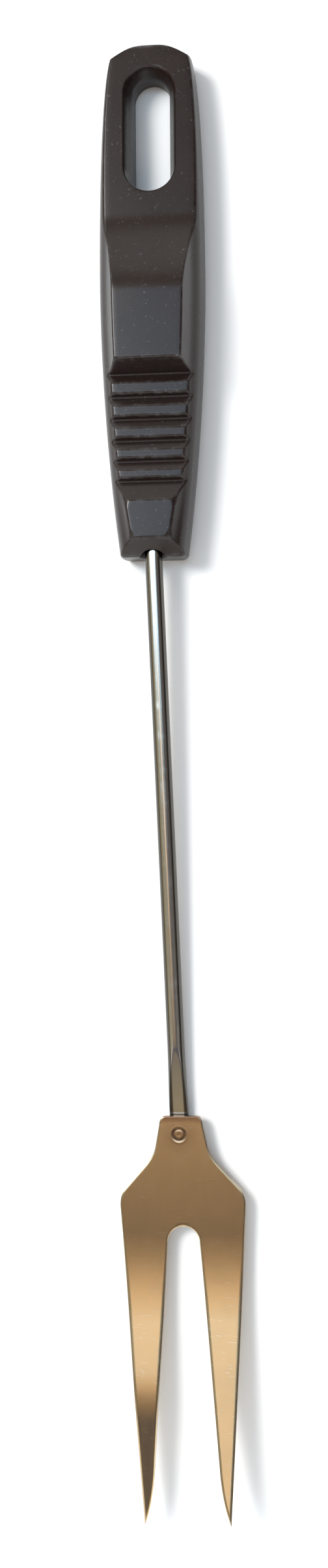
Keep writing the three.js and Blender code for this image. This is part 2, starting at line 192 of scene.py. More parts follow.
class ShankSizes(PropertyGroup):
    """Sizes of the shank and its tang."""

    width: length("Bar", "Diameter of the round bar", 4.0)
    height: length("Height", "Height of the shank's middle where it leaves the handle", 7.2)
    drop: degrees("Drop", "How steeply the shank falls towards the head", 2.4)
    lean: degrees("Lean", "How far the shank leans sideways", 1.9)
    bend: length("Bend", "Length of the easy bend at the handle", 4.0)
    flat_thickness: length("Flat thickness", "Thickness of the pressed end", 2.4)
    flat_lap: length("Lap", "Length of the pressed end under the head", 12.4)
    flat_run: length("Run", "Length of the long facet above the head", 16.0)
    wing_width: length("Wing width", "Width of the tang's pressed wings", 5.6)
    wing_thickness: length("Wing thickness", "Thickness of the tang's pressed wings", 2.6)
    wing_length: length("Wing length", "Length of the tang's pressed wings", 12.0)
    flat_spread: number("Spread", "How much wider pressing makes the end, as a share", 0.1)
    play: length("Play", "Space between the tang and the moulding", 0.3)


class HeadSizes(PropertyGroup):
    """Sizes of the stamped head."""

    plate: length("Plate", "Thickness of the plate", 1.4)
    length: length("Length", "From the neck's top edge to the tips", 92.7)
    lean: degrees("Lean", "How far the head leans sideways", 1.0)
    offset: length("Offset", "Sideways distance from the weld to the head's middle line", 0.5)
    neck_top: length("Neck top", "Straight part of the neck's top edge", 7.2)
    neck_upper: length("Neck upper", "Width of the neck below its top corners", 10.0)
    neck_lower: length("Neck lower", "Width of the neck where it starts to flare", 11.9)
    neck_corner: length("Neck corner", "Depth of the neck's top corners", 1.9)
    neck_length: length("Neck length", "From the top edge to the start of the flare", 6.8)
    shoulder_start: length("Shoulder start", "Where the straight shoulders start", 11.3)
    shoulder_start_width: length("Shoulder start width", "Width there", 16.8)
    shoulder_end: length("Shoulder end", "Where the straight shoulders end", 16.9)
    width: length("Width", "Greatest width", 29.0)
    width_from_top: length("Width place", "Where the head is widest", 20.6)
    tip_span: length("Tip span", "Distance between the two tips", 20.2)
    gap_root: length("Gap root", "Width of the gap at its round root", 7.5)
    gap_from_top: length("Gap place", "From the top edge to the root of the gap", 25.3)
    gap_taper: degrees("Gap taper", "How much each side of the gap opens towards the tips", 4.3)
    tip_curve: length("Tip curve", "Length of the curved inner edge at each tip", 13.5)
    bend_start: length("Bend start", "Where the tines start to rise", 27.0)
    bend_length: length("Bend length", "Length over which they turn upwards", 20.0)
    rise: degrees("Rise", "How steeply the tines rise after the bend", 7.0)
    curl: degrees("Curl", "How much steeper the tines get from there to the tips", 2.3)
    droop_start: length("Droop start", "Where one tine, bent in use, turns level again", 58.5)
    droop_length: length("Droop length", "Length over which it does", 12.0)
    droop: degrees("Droop", "How much less steep that tine's end is", 7.9)
    face_round: length("Face round", "Width that stamping rolled off at the front edges", 0.6)
    face_drop: length("Face drop", "How far the front edges fall away", 0.17)
    short_tip: length("Short tip", "How much shorter the steeper tine is, seen from above", 1.6)
    back_round: length("Back round", "Rounding of the back edges", 0.12)
    weld_from_edge: length("Weld place", "From the neck's top edge to the weld", 4.2)
    weld_width: length("Weld width", "Diameter of the weld mark", 3.3)
    weld_depth: length("Weld depth", "Depth of the ring round the weld mark", 0.06)


class FinishColours(PropertyGroup):
    """Colours of the finishes."""

    phenolic: colour("Phenolic", "Dark brown moulding", 0.0132, 0.0076, 0.0060)
    phenolic_dust: colour("Dust", "Pale dust and rubbed grain on the moulding", 0.24, 0.25, 0.26)
    rod: colour("Rod", "Bright drawn bar", 0.72, 0.68, 0.60)
    # Painted shade: colour for the bar's sides, standing in for dimmer reflections there
    rod_flank: colour("Rod flank", "Duller sides of the bar", 0.085, 0.078, 0.068)
    plate: colour("Plate", "Satin plate", 0.65, 0.50, 0.30)
    heat_tint: colour("Heat tint", "Tint that the weld's heat left", 0.27, 0.155, 0.10)
    scratch: colour("Scratch", "Fresh scratches in the plate", 0.86, 0.82, 0.74)
    floor: colour("Floor", "Pale floor", 0.93, 0.93, 0.93)


class StudioSettings(PropertyGroup):
    """The camera's place and the lights' strength."""

    camera_height: length("Camera height", "Height of the camera above the floor", 406.0)
    camera_side: length("Camera side", "How far the camera stands to the right", 49.0)
    camera_lens: number("Lens", "Focal length in millimetres on a 36 mm frame", 40.3)
    camera_roll: degrees("Camera roll", "Turn of the camera about its own axis", -0.45)
    key_power: number("Key", "Power of the softbox in watts", 14.5)
    sky_strength: number("Sky", "Strength of the dome", 1.0)
    dome_left: colour("Dome left", "Light from the left", 0.30, 0.26, 0.17)
    dome_middle: colour("Dome middle", "Light from overhead", 0.30, 0.20, 0.118)
    dome_right: colour("Dome right", "Light from the right", 0.11, 0.10, 0.10)
    dark_card: colour("Dark card", "Dark card seen in the end of one tine", 0.01, 0.03, 0.10)
    near_end: card("Near end", "Light from beyond the tines", 0.50, 0.40, 0.22)
    far_end: card("Far end", "Light from beyond the handle", 0.36, 0.30, 0.25)
    left_cards: card("Left cards", "Two bright cards on the left", 1.3, 1.27, 1.24)
    end_light: card("End light", "Light from low down beyond both ends", 1.3, 1.27, 1.24)
    right_card: card("Right card", "Bright card on the right, towards the tines", 1.8, 1.76, 1.72)
    tine_card: card("Tine card", "Warm card seen in the tines", 1.40, 1.01, 0.66)
    handle_card: card("Handle card", "Cool card seen in the handle's flats", 2.2, 3.1, 4.0)


# --- Mesh helpers ---


def add_object(name, vertices, faces, **attributes):
    """Makes a smooth shaded object from vertices in metres, with named values for its materials."""
    mesh = bpy.data.meshes.new(name)
    mesh.from_pydata([tuple(v) for v in vertices], [], faces)
    mesh.validate()
    for attribute, values in attributes.items():
        layer = mesh.attributes.new(attribute, "FLOAT", "POINT")
        layer.data.foreach_set("value", np.asarray(values, dtype=np.float32))
    mesh.polygons.foreach_set("use_smooth", [True] * len(mesh.polygons))
    piece = bpy.data.objects.new(name, mesh)
    bpy.context.scene.collection.objects.link(piece)
    return piece


def lofted(name, rings, **attributes):
    """Joins closed rings of the same number of points, and closes both ends with a flat cap."""
    count = len(rings[0])
    vertices = [point for ring in rings for point in ring]
    faces = []
    for i in range(len(rings) - 1):
        here, there = i * count, (i + 1) * count
        for j in range(count):
            k = (j + 1) % count
            faces.append((here + j, here + k, there + k, there + j))
    last = (len(rings) - 1) * count
    faces.append(tuple(reversed(range(count))))
    faces.append(tuple(range(last, last + count)))
    return add_object(name, vertices, faces, **attributes)


def outward(piece):
    """Turns every face outwards."""
    work = bmesh.new()
    work.from_mesh(piece.data)
    bmesh.ops.recalc_face_normals(work, faces=work.faces)
    work.to_mesh(piece.data)
    work.free()
    return piece


def cut_away(piece, cutter):
    """Cuts one solid out of another, and removes the cutter."""
    cut = piece.modifiers.new("cut", "BOOLEAN")
    cut.operation = "DIFFERENCE"
    cut.solver = "EXACT"
    cut.object = cutter
    graph = bpy.context.evaluated_depsgraph_get()
    result = bpy.data.meshes.new_from_object(piece.evaluated_get(graph))
    piece.modifiers.clear()
    old = piece.data
    piece.data = result
    bpy.data.meshes.remove(old)
    bpy.data.objects.remove(cutter)
    return piece


def crisp(piece, angle):
    """Keeps edges sharper than an angle crisp in the shading."""
    piece.data.set_sharp_from_angle(angle=angle)
    return piece


def rolled_off(depth, width, height):
    """How far a stamped edge falls away at a depth in from it."""
    outside = np.clip(1 - depth / width, 0.0, 1.0)
    return height * outside**2


def quarter(depth, radius):
    """How far a rounded edge falls away at a depth in from the edge."""
    inside = np.clip(radius - depth, 0.0, radius)
    return radius - np.sqrt(radius**2 - inside**2)


def smooth_between(value, low, high):
    """Rises smoothly from 0 to 1 between two values."""
    t = np.clip((value - low) / (high - low), 0.0, 1.0)
    return t * t * (3.0 - 2.0 * t)


def bezier(points, steps):
    """Points along a Bezier curve of two, three or four controls."""
    t = np.linspace(0.0, 1.0, steps)[:, None]
    points = [np.asarray(p, dtype=float) for p in points]
    while len(points) > 1:
        points = [a * (1 - t) + b * t for a, b in zip(points, points[1:])]
    return points[0]


# --- Handle ---


class HandleForm:
    """The handle's surfaces as formulas, in metres from the middle of its shank end."""

    def __init__(self, sizes):
        low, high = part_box("handle")
        self.s = sizes
        self.x = (low.x + high.x) / 2
        self.y = low.y
        self.length = high.y - low.y
        self.belly = (high.x - low.x) / 2
        self.pad_height = high.z
        self.section = np.array(SIDE_SECTION) * MM
        self.lay_out_top()
        self.lay_out_side()

    def lay_out_top(self):
        """The pads, ribs and slopes along the top, from the shank end up."""
        s = self.s
        self.lower_pad = (s.lower_slope, s.lower_slope + s.lower_pad_length)
        ribs_start = self.lower_pad[1] + s.lower_ramp
        pitches = [s.rib_pitch - s.rib_pitch_drop * i for i in range(s.rib_count)]
        y = ribs_start + sum(pitches)
        self.pad = (y + s.pad_step, y + s.pad_step + s.pad_length)
        rib_top = s.groove_height + s.rib_height
        corners = [(self.pad[0], self.pad_height)]
        for pitch in pitches:
            corners += [(y, s.groove_height), (y - s.rib_slope, rib_top)]
            y -= pitch
            corners.append((y + s.rib_riser, rib_top))
        corners += [(ribs_start, s.groove_height), (self.lower_pad[1], s.lower_pad_height)]
        corners += [(self.lower_pad[0], s.lower_pad_height), (0.0, s.end_height)]
        self.corners = np.array(corners[::-1])

    def lay_out_side(self):
        """Half of the outline, as its half width at each place along the handle."""
        s = self.s
        end, corner = s.end_width / 2, s.corner_width / 2
        corner_y = self.length - s.dome_rise
        upper = corner_y - s.belly_from_end
        widest = (self.belly, s.belly_from_end)
        low_full = (end + 0.66 * (self.belly - end), 0.34 * s.belly_from_end)
        low_upright = (self.belly, 0.72 * s.belly_from_end)
        high_upright = (self.belly, s.belly_from_end + 0.44 * upper)
        high_full = (corner + 0.68 * (self.belly - corner), s.belly_from_end + 0.88 * upper)
        lower = bezier([(end, s.end_round), low_full, low_upright, widest], 120)
        higher = bezier([widest, high_upright, high_full, (corner, corner_y)], 120)
        self.side = np.vstack([lower, higher[1:]])
        self.corner_y = corner_y
        self.dome_radius = (corner**2 + s.dome_rise**2) / (2 * s.dome_rise)

    def half_width(self, y):
        """Half of the handle's width at its parting line."""
        s = self.s
        if y < s.end_round:
            return s.end_width / 2 - quarter(y, s.end_round)
        if y > self.corner_y:
            centre = self.length - self.dome_radius
            return math.sqrt(max(self.dome_radius**2 - (y - centre) ** 2, 0.0))
        return float(np.interp(y, self.side[:, 1], self.side[:, 0]))

    def inset(self, z, y):
        """How far the side has drawn in from its widest, at a height and a place along the handle."""
        s = self.s
        under = np.clip((s.widest_height - z) / s.widest_height, 0, 1)
        below = s.back_round * (1 - np.sqrt(1 - under**2))
        eased = [
            np.interp(z + shift, self.section[:, 0], self.section[:, 1])
            for shift in np.linspace(-0.7, 0.7, 9) * MM
        ]
        start, end = self.lower_pad
        along = (end - y) / (end - start)
        by_lower_pad = float(along > -0.8)
        draw = s.lower_pad_draw * np.clip(0.45 + 0.55 * along, 0, 1.2) * by_lower_pad
        raised = np.clip((z - s.groove_height) / (s.lower_pad_height - s.groove_height), 0, 1)
        return np.where(z < s.widest_height, below, np.mean(eased, axis=0)) + draw * raised

    def face_height(self, y):
        """Height of the long face between the thumb pad and the domed end."""
        s = self.s
        along = (self.length - y) / (self.length - self.pad[1])
        climb = 0.33 * along + 0.67 * smooth_between(along, 0.68, 1.0)
        return s.hanging_height + (self.pad_height - s.hanging_height) * climb

    def raw_top(self, y):
        """Height of the top with its corners still sharp."""
        stepped = np.interp(y, self.corners[:, 0], self.corners[:, 1])
        return np.where(y > self.pad[1], self.face_height(y), stepped)

    def top(self, y):
        """Height of the top, with its corners eased as a moulding's are."""
        soften = self.s.edge_round * 0.55
        shifts = np.linspace(-soften, soften, 11)
        eased = np.mean([self.raw_top(np.clip(y + d, 0, self.length)) for d in shifts], axis=0)
        ends = quarter(y, self.s.edge_round) + quarter(self.length - y, 2 * self.s.edge_round)
        return eased - ends

    def rubbed(self, y):
        """How much a place along the top stands proud, from its curvature."""
        step = 0.35 * MM
        bend = self.top(y - step) + self.top(y + step) - 2 * self.top(y)
        return float(np.clip(-bend / (0.10 * MM), 0.0, 1.0))

    def stations(self):
        """Places of the sections, closer together at the corners and the ends."""
        s = self.s
        least_step = 0.015 * MM
        places = list(np.linspace(0.0, self.corner_y, 240))
        for y, _ in self.corners:
            places += list(y + np.linspace(-0.7, 0.7, 13) * MM)
        places += list(s.end_round * (1 - np.cos(np.linspace(0, math.pi / 2, 9))))
        places += list(self.length - s.dome_rise * np.linspace(1.0, 0.02, 28) ** 2)
        places = sorted(y for y in places if 0.0 <= y <= self.length)
        kept = [places[0]]
        for y in places[1:]:
            if y - kept[-1] > least_step:
                kept.append(y)
        return kept

    def ring(self, y):
        """One section, up the right side, over the top and down the left, and how worn it is."""
        s = self.s
        half = self.half_width(y)
        pull = min(1.0, half / (s.end_width / 2))
        top = float(self.top(np.float64(y)))
        low = float(quarter(y, s.edge_round) + quarter(self.length - y, s.edge_round))
        near_pad = max(1 - abs(y - edge) / PAD_CORNER_RUN for edge in self.lower_pad)
        corner = s.edge_round * (1 + PAD_CORNER_GAIN * max(near_pad, 0.0)) * max(pull, 0.15)
        back = low + (s.widest_height - low) * (1 - np.sin(np.linspace(math.pi / 2, 0, 9)))
        side = np.linspace(s.widest_height, top - corner, 27)[1:]
        z = np.concatenate([back, side])
        x = half - self.inset(z, y) * pull
        turn = np.linspace(0, math.pi / 2, 8)[1:]
        z_turn = top - corner * (1 - np.sin(turn))
        x_turn = half - self.inset(z_turn, y) * pull - corner * (1 - np.cos(turn))
        over = np.linspace(1.0, 0.0, 9)[1:-1]
        crown = 0.06 * MM
        x_over = x_turn[-1] * over
        z_over = top + crown * (1 - over**2)
        under = np.linspace(0.0, 1.0, 6)[1:-1]
        right_x = np.concatenate([x[0] * under, x, x_turn, x_over])
        right_z = np.concatenate([np.full(len(under), low), z, z_turn, z_over])
        right = np.stack([right_x, right_z], axis=1)
        left = right[::-1] * (-1, 1)
        loop = np.vstack([[(0.0, low)], right, [(0.0, top + crown)], left])
        not_top = np.zeros(len(under) + len(z))
        edge = np.concatenate([not_top, np.sin(turn * 2), np.zeros(len(over))])
        top_face = np.concatenate([not_top, np.ones(len(turn) + len(over))])
        proud = self.rubbed(np.float64(y))
        rubbed = np.clip(0.6 * edge + proud * top_face, 0, 1)
        rubbed = np.concatenate([[0.0], rubbed, [proud], rubbed[::-1]])
        points = [(self.x + px, self.y + y, pz) for px, pz in loop]
        return points, rubbed


def slot_cutter(form):
    """The hanging slot with its funnel, both rims eased. Its walls carry -1, for their shade."""
    s = form.s
    radius = s.slot_width / 2
    high = form.length - s.slot_from_top
    low = high - s.slot_length
    steps = 28
    half_turn = np.linspace(0, math.pi, steps)
    angles = np.concatenate([half_turn, math.pi + half_turn])
    upper = np.arange(2 * steps) < steps
    rim_radius = radius + s.funnel_side
    centre = np.where(upper, high - radius, low + radius)
    rim_centre = np.where(upper, high + s.funnel_top - rim_radius, low + rim_radius)

    def ring(growth, lift, flare):
        r = radius + s.funnel_side * growth
        c = centre + (rim_centre - centre) * growth
        x = (r + flare) * np.cos(angles)
        y = c + (r + flare) * np.sin(angles)
        face = form.face_height(y)
        z = s.funnel_floor + (face - s.funnel_floor) * growth + lift
        return [(form.x + a, form.y + b, d) for a, b, d in zip(x, y, z)]

    # How far up the funnel, the lift from there, and how much wider than the funnel
    floor = s.funnel_floor
    levels = [
        (0.0, -floor - 1.0 * MM, 0.8 * MM),
        (0.0, -floor, 0.5 * MM),
        (0.0, -floor + 0.15 * MM, 0.18 * MM),
        (0.0, -floor + 0.5 * MM, 0.0),
        (0.0, -0.4 * MM, 0.0),
        (0.05, 0.1 * MM, 0.02 * MM),
        (0.25, 0.0, 0.0),
        (0.6, 0.0, 0.0),
        (0.9, 0.0, 0.0),
        (0.97, 0.0, 0.08 * MM),
        (1.0, 0.05 * MM, 0.26 * MM),
        (1.0, 0.2 * MM, 0.7 * MM),
        (1.0, 1.5 * MM, 1.6 * MM),
    ]
    # Painted shade: -1 marks the slot's walls, which the moulding's material paints darker
    recess = np.full(2 * steps * len(levels), -1.0)
    return outward(lofted("slot_cutter", [ring(*level) for level in levels], rubbed=recess))


def round_cutter(x, z, radius, start, end, mouth):
    """A round hole along Y whose mouth is eased."""
    stops = [
        (start - 1.0 * MM, mouth + 0.6 * MM),
        (start, mouth),
        (start + 0.4 * MM, 0.0),
        (end - 0.4 * MM, 0.0),
        (end, -0.4 * MM),
    ]
    rings = [
        [(x + (radius + grow) * math.cos(a), y, z + (radius + grow) * math.sin(a)) for a in AROUND]
        for y, grow in stops
    ]
    return outward(lofted("round_cutter", rings))


def build_handle(sizes, shank):
    form = HandleForm(sizes)
    rings, rubbed = zip(*[form.ring(y) for y in form.stations()])
    handle = outward(lofted("moulded_handle", rings, rubbed=np.concatenate(rubbed)))
    cut_away(handle, slot_cutter(form))
    cut_away(handle, tang_cutter(ShankForm(shank)))
    socket_end = form.y + sizes.socket_depth
    mouth = 0.25 * MM
    socket = round_cutter(form.x, shank.height, sizes.socket_width / 2, form.y, socket_end, mouth)
    cut_away(handle, socket)
    return crisp(outward(handle), math.radians(38))


# --- Shank ---


class ShankForm:
    """The middle line and the section of the bar, in metres in the frame."""

    def __init__(self, sizes):
        low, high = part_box("handle")
        self.s = sizes
        self.x = (low.x + high.x) / 2
        self.exit = low.y
        bar_low, bar_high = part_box("shank")
        self.end = bar_low.y
        self.tang_end = bar_high.y
        self.plate_top = self.end + sizes.flat_lap
        self.flat_start = self.plate_top + sizes.flat_run
        self.wings = (self.tang_end - 2 * sizes.wing_length, self.tang_end - sizes.wing_length)

    def past_exit(self, y):
        """Distance down the fork from the handle, eased round the bend."""
        half = self.s.bend / 2
        down = self.exit - y
        if down < -half:
            return 0.0
        if down > half:
            return down
        return (down + half) ** 2 / (4 * half)

    def middle(self, y):
        """Place across the fork and height of the bar's middle line."""
        down = self.past_exit(y)
        return self.x + down * math.tan(self.s.lean), self.s.height - down * math.tan(self.s.drop)

    def flat_height(self, y):
        """Height of the pressed facet, well above the bar where it isn't pressed."""
        s = self.s
        _, start_z = self.middle(self.flat_start)
        share = (self.flat_start - y) / s.flat_run
        top = start_z + s.width / 2
        if share < 0:
            return top + 0.2 * (y - self.flat_start)
        return top + (s.flat_thickness - top) * min(share, 1.0)

    def ring(self, y):
        """One section outside the handle, pressed flat above and kept off the floor."""
        s = self.s
        x, z = self.middle(y)
        pressed = smooth_between(self.flat_start - y, 0.0, s.flat_run)
        end = np.clip((y - self.end) / END_ROUND, 0.0, 1.0)
        narrowing = 0.82 + 0.18 * math.sqrt(1 - (1 - end) ** 2)
        px = s.width / 2 * np.cos(AROUND) * (1 + s.flat_spread * pressed) * narrowing
        pz = z + s.width / 2 * np.sin(AROUND)
        pz = pz - eased_over(pz - self.flat_height(y))
        pz = pz + eased_over(-pz)
        return [(x + a, y, b) for a, b in zip(px, pz)]

    def tang_ring(self, y, wide, tall):
        """One section of the tang, from half its width and half its height."""
        return [
            (self.x + wide * math.cos(a), y, self.s.height + tall * math.sin(a)) for a in AROUND
        ]

    def tang_rings(self, start, tip, margin):
        """The tang with its pressed wings, grown by a margin, and a narrower tip."""
        s = self.s
        bar = (s.width / 2 + margin, s.width / 2 + margin)
        wing = (s.wing_width / 2 + margin, s.wing_thickness / 2 + margin)
        low, high = self.wings
        stops = [(y, bar) for y in start]
        stops += [(low - WING_RUN, bar), (low, wing), (high, wing), (high + WING_RUN, bar)]
        stops += [(self.tang_end - tip + margin, bar)]
        stops += [(self.tang_end + margin, (bar[0] - TIP_DRAW, bar[1] - TIP_DRAW))]
        return [self.tang_ring(y, wide, tall) for y, (wide, tall) in stops]


def eased_over(over):
    """How much to take off for staying under a limit, eased within a tenth of a millimetre."""
    soft = 0.10 * MM
    return np.where(over > -soft, np.where(over > soft, over, (over + soft) ** 2 / (4 * soft)), 0)


def tang_cutter(form):
    """The tang with the play that it has in the moulding."""
    start = form.exit - 2 * MM
    return outward(lofted("tang_cutter", form.tang_rings([start], 0.5 * MM, form.s.play)))


def build_shank(sizes):
    form = ShankForm(sizes)
    bend = sizes.bend / 2
    places = list(form.end + END_ROUND * (1 - np.cos(np.linspace(0, math.pi / 2, 8))))
    places += list(np.linspace(form.end + 1.5 * MM, form.flat_start, 90))
    places += list(np.linspace(form.flat_start, form.exit - bend, 60)[1:])
    places += list(np.linspace(form.exit - bend, form.exit + bend, 9)[1:])
    rings = [form.ring(y) for y in places] + form.tang_rings([], TIP_DRAW, 0.0)
    # Painted shade mask: 1 on the bar's sides, 0 over its top and underside
    flank = np.tile(np.abs(np.cos(AROUND)), len(rings))
    shank = outward(lofted("drawn_shank", rings, flank=flank))
    return crisp(shank, math.radians(45))


# --- Head ---


class HeadForm:
    """The plate's outline and bend, measured from the middle of the neck's top edge."""

    def __init__(self, sizes, shank):
        self.s = sizes
        self.underside = shank.s.flat_thickness + shank.s.play
        self.front = self.underside + sizes.plate
        self.weld = Vector((-sizes.offset, -sizes.weld_from_edge))
        turned = self.turned(self.weld.x, self.weld.y)
        weld_y = shank.plate_top + turned[1]
        weld_x, _ = shank.middle(weld_y)
        self.place = (weld_x - turned[0], shank.plate_top)
        self.lay_out_outer()

    def turned(self, x, y):
        """A point of the outline turned by the head's lean."""
        c, s = math.cos(self.s.lean), math.sin(self.s.lean)
        return x * c - y * s, x * s + y * c

    def lay_out_outer(self):
        """The right half's outer edge, and the curved inner edge at its tip."""
        s = self.s
        below_corner = (s.neck_upper / 2, s.neck_corner)
        flare = (s.neck_lower / 2, s.neck_length)
        flare_control = (s.neck_lower / 2 + 0.5 * MM, s.neck_length + 2.3 * MM)
        shoulder_start = (s.shoulder_start_width / 2, s.shoulder_start)
        shoulder = s.shoulder_start_width / 2 + (s.shoulder_end - s.shoulder_start) * 0.9
        shoulder_end = (shoulder, s.shoulder_end)
        widest_control = (s.width / 2, s.shoulder_end + 1.2 * MM)
        widest = (s.width / 2, s.width_from_top)
        stretches = [
            [(s.neck_top / 2, 0.0), (s.neck_upper * 0.49, 0.0), below_corner],
            [below_corner, flare],
            [flare, flare_control, shoulder_start],
            [shoulder_start, shoulder_end],
            [shoulder_end, widest_control, widest],
            [widest, (s.tip_span / 2, s.length)],
        ]
        self.outer_line = np.vstack([bezier(stretch, 60) for stretch in stretches])
        gap_radius = s.gap_root / 2
        self.gap_centre = s.gap_from_top + gap_radius
        curve_start = s.length - s.tip_curve
        inner = gap_radius + (curve_start - self.gap_centre) * math.tan(s.gap_taper)
        tip = s.tip_span / 2
        control = (inner + 0.2 * (tip - inner), curve_start + 0.62 * s.tip_curve)
        self.tip_line = bezier([(inner, curve_start), control, (tip, s.length)], 60)

    def outer(self, d):
        """Distance of the outer edge from the middle line."""
        return np.interp(d, self.outer_line[:, 1], self.outer_line[:, 0])

    def inner(self, d):
        """Distance of the gap's edge from the middle line, or 0 above the gap."""
        s = self.s
        radius = s.gap_root / 2
        if d < self.gap_centre:
            return math.sqrt(max(radius**2 - (self.gap_centre - d) ** 2, 0.0))
        if d < s.length - s.tip_curve:
            return radius + (d - self.gap_centre) * math.tan(s.gap_taper)
        return float(np.interp(d, self.tip_line[:, 1], self.tip_line[:, 0]))

    def reach(self, d, side):
        """Distance down from the top edge, a little less on the steeper tine."""
        s = self.s
        share = max(d - self.gap_centre, 0.0) / (s.length - self.gap_centre)
        return d - (s.short_tip * share if side > 0 else 0.0)

    def bend(self, d, side):
        """How far the plate has risen at a distance down from the neck's top edge."""
        s = self.s
        bend_end = s.bend_start + s.bend_length
        rise = turned_up(d, s.bend_start, s.bend_length, s.rise)
        rise += turned_up(d, bend_end, s.length - bend_end, s.curl)
        if side < 0:
            rise -= turned_up(d, s.droop_start, s.droop_length, s.droop)
        return rise

    def stations(self):
        """Places of the rows, closest together round the weld mark, the gap's root and the tips."""
        s = self.s
        root = s.gap_from_top
        past_weld = 7.0 * MM
        places = list(s.neck_corner * (1 - np.cos(np.linspace(0, math.pi / 2, 12))))
        places += list(np.arange(s.neck_corner, past_weld, 0.14 * MM))
        places += list(np.linspace(past_weld, root, 46))
        places += list(root + (self.gap_centre - root) * np.linspace(0, 1, 22) ** 2)
        places += list(np.linspace(self.gap_centre, s.length - s.tip_curve, 70))
        places += list(s.length - s.tip_curve * np.linspace(1, 0.06, 40) ** 1.5)
        places = sorted(set(places))
        return [places[0]] + [b for a, b in zip(places, places[1:]) if b - a > 0.01 * MM]

    def edge_distance(self, x, d):
        """Distance from a point of the plate in to its nearest edge."""
        s = self.s
        step = 0.05 * MM
        slope = (self.outer(d + step) - self.outer(d - step)) / (2 * step)
        to_outer = (self.outer(d) - x) / math.sqrt(1 + slope**2)
        if d < self.gap_centre:
            to_inner = math.hypot(x, self.gap_centre - d) - s.gap_root / 2
        else:
            slope = (self.inner(d + step) - self.inner(d - step)) / (2 * step)
            to_inner = (x - self.inner(d)) / math.sqrt(1 + slope**2)
        return max(min(to_outer, to_inner, 3 * d), 0.0)

    def heat(self, r, d):
        """Heat tint at a distance from the weld and from the neck's top edge."""
        halo = 0.5 * math.exp(-((r / (5.0 * MM)) ** 2))
        ring = math.exp(-(((r - WELD_RING * self.s.weld_width) / (0.42 * MM)) ** 2))
        return max(halo, ring, 0.85 - d / (3.0 * MM))

    def weld_dent(self, x, d):
        """Depth of the weld mark: a ring pressed in round a slightly dished button."""
        s = self.s
        r = math.hypot(x - self.weld.x, -d - self.weld.y)
        ring = math.exp(-(((r - WELD_RING * s.weld_width) / (0.32 * MM)) ** 2))
        rim = math.exp(-(((r - 0.56 * s.weld_width) / (0.2 * MM)) ** 2))
        dish = math.exp(-((r / (0.7 * MM)) ** 2))
        return s.weld_depth * (ring + 0.3 * dish - 0.2 * rim)


def turned_up(d, start, run, angle):
    """Height gained after an even bend to an angle."""
    into = min(max((d - start) / run, 0.0), 1.0)
    past = max(d - start - run, 0.0)
    return math.tan(angle) * (run * into**2 / 2 + past)


def head_columns():
    """Shares of the width at which the plate has a vertex, closer together by the edges."""
    edge = np.array([0.0, 0.012, 0.03, 0.055])
    inside = np.linspace(0.09, 0.91, 30)
    return np.concatenate([edge, inside, 1 - edge[::-1]])


def build_head(sizes, shank_sizes):
    form = HeadForm(sizes, ShankForm(shank_sizes))
    s = sizes
    columns = head_columns()
    least = 0.2 * MM
    front, back, faces, heat = [], [], [], []
    rows = {}

    def corner(i, j, side, d, x):
        """The vertex of one row and column, shared between the sides on the middle line."""
        joined = j == 0 and d <= s.gap_from_top
        key = (i, j, 0 if joined else side)
        if key not in rows:
            rows[key] = len(front)
            near = form.edge_distance(x, d)
            fx, fy = form.turned(side * x, -form.reach(d, side))
            rise = form.bend(d, side)
            thin = 0.55 * s.plate * smooth_between(d, s.length - 11 * MM, s.length)
            dent = form.weld_dent(side * x, d)
            past_root = smooth_between(d, s.gap_from_top, s.bend_start + s.bend_length)
            roll = 0.5 + 0.5 * past_root
            fall = rolled_off(near, s.face_round * roll, s.face_drop * roll)
            high = form.front + rise - fall - dent
            low = form.underside + rise + quarter(near, s.back_round) + thin
            front.append((form.place[0] + fx, form.place[1] + fy, high))
            back.append((form.place[0] + fx, form.place[1] + fy, min(low, high - least)))
            r = math.hypot(side * x - form.weld.x, -d - form.weld.y)
            heat.append(form.heat(r, d))
        return rows[key]

    places = form.stations()
    for side in (1, -1):
        grid = []
        for i, d in enumerate(places):
            low, high = form.inner(d), float(form.outer(d))
            if high - low < least:
                middle = (high + low) / 2
                low, high = middle - least / 2, middle + least / 2
            grid.append([corner(i, j, side, d, low + (high - low) * c) for j, c in enumerate(columns)])
        for above, below in zip(grid, grid[1:]):
            for j in range(len(columns) - 1):
                quad = (above[j], below[j], below[j + 1], above[j + 1])
                faces.append(quad if side == 1 else quad[::-1])
    blued_through = 0.75
    heat_below = [BACK_TINT if value > blued_through else 0.0 for value in heat]
    return plate_between(front, back, faces, heat + heat_below)


def plate_between(front, back, faces, blueing):
    """Closes a front and a back with the same faces into one plate."""
    count = len(front)
    edges = [edge for face in faces for edge in zip(face, face[1:] + face[:1])]
    used = set(edges)
    rims = [(a, b) for a, b in edges if (b, a) not in used]
    under = [tuple(count + v for v in face[::-1]) for face in faces]
    walls = [(b, a, count + a, count + b) for a, b in rims]
    plate = add_object("stamped_head", front + back, faces + under + walls, blueing=blueing)
    return crisp(outward(plate), math.radians(40))


# --- Materials ---


class Field:
    """A shader socket that can be used in sums: an expression adds its Math nodes."""

    def __init__(self, graph, socket):
        self.graph = graph
        self.socket = socket

    def _math(self, operation, *values):
        return self.graph.node("ShaderNodeMath", {"operation": operation}, dict(enumerate(values)))

    def __add__(self, other):
        return self._math("ADD", self, other)

    __radd__ = __add__

    def __sub__(self, other):
        return self._math("SUBTRACT", self, other)

    def __rsub__(self, other):
        return self._math("SUBTRACT", other, self)

    def __mul__(self, other):
        return self._math("MULTIPLY", self, other)

    __rmul__ = __mul__

    def __neg__(self):
        return 0.0 - self

    def clamped(self):
        return self.graph.node("ShaderNodeClamp", {}, {"Value": self})


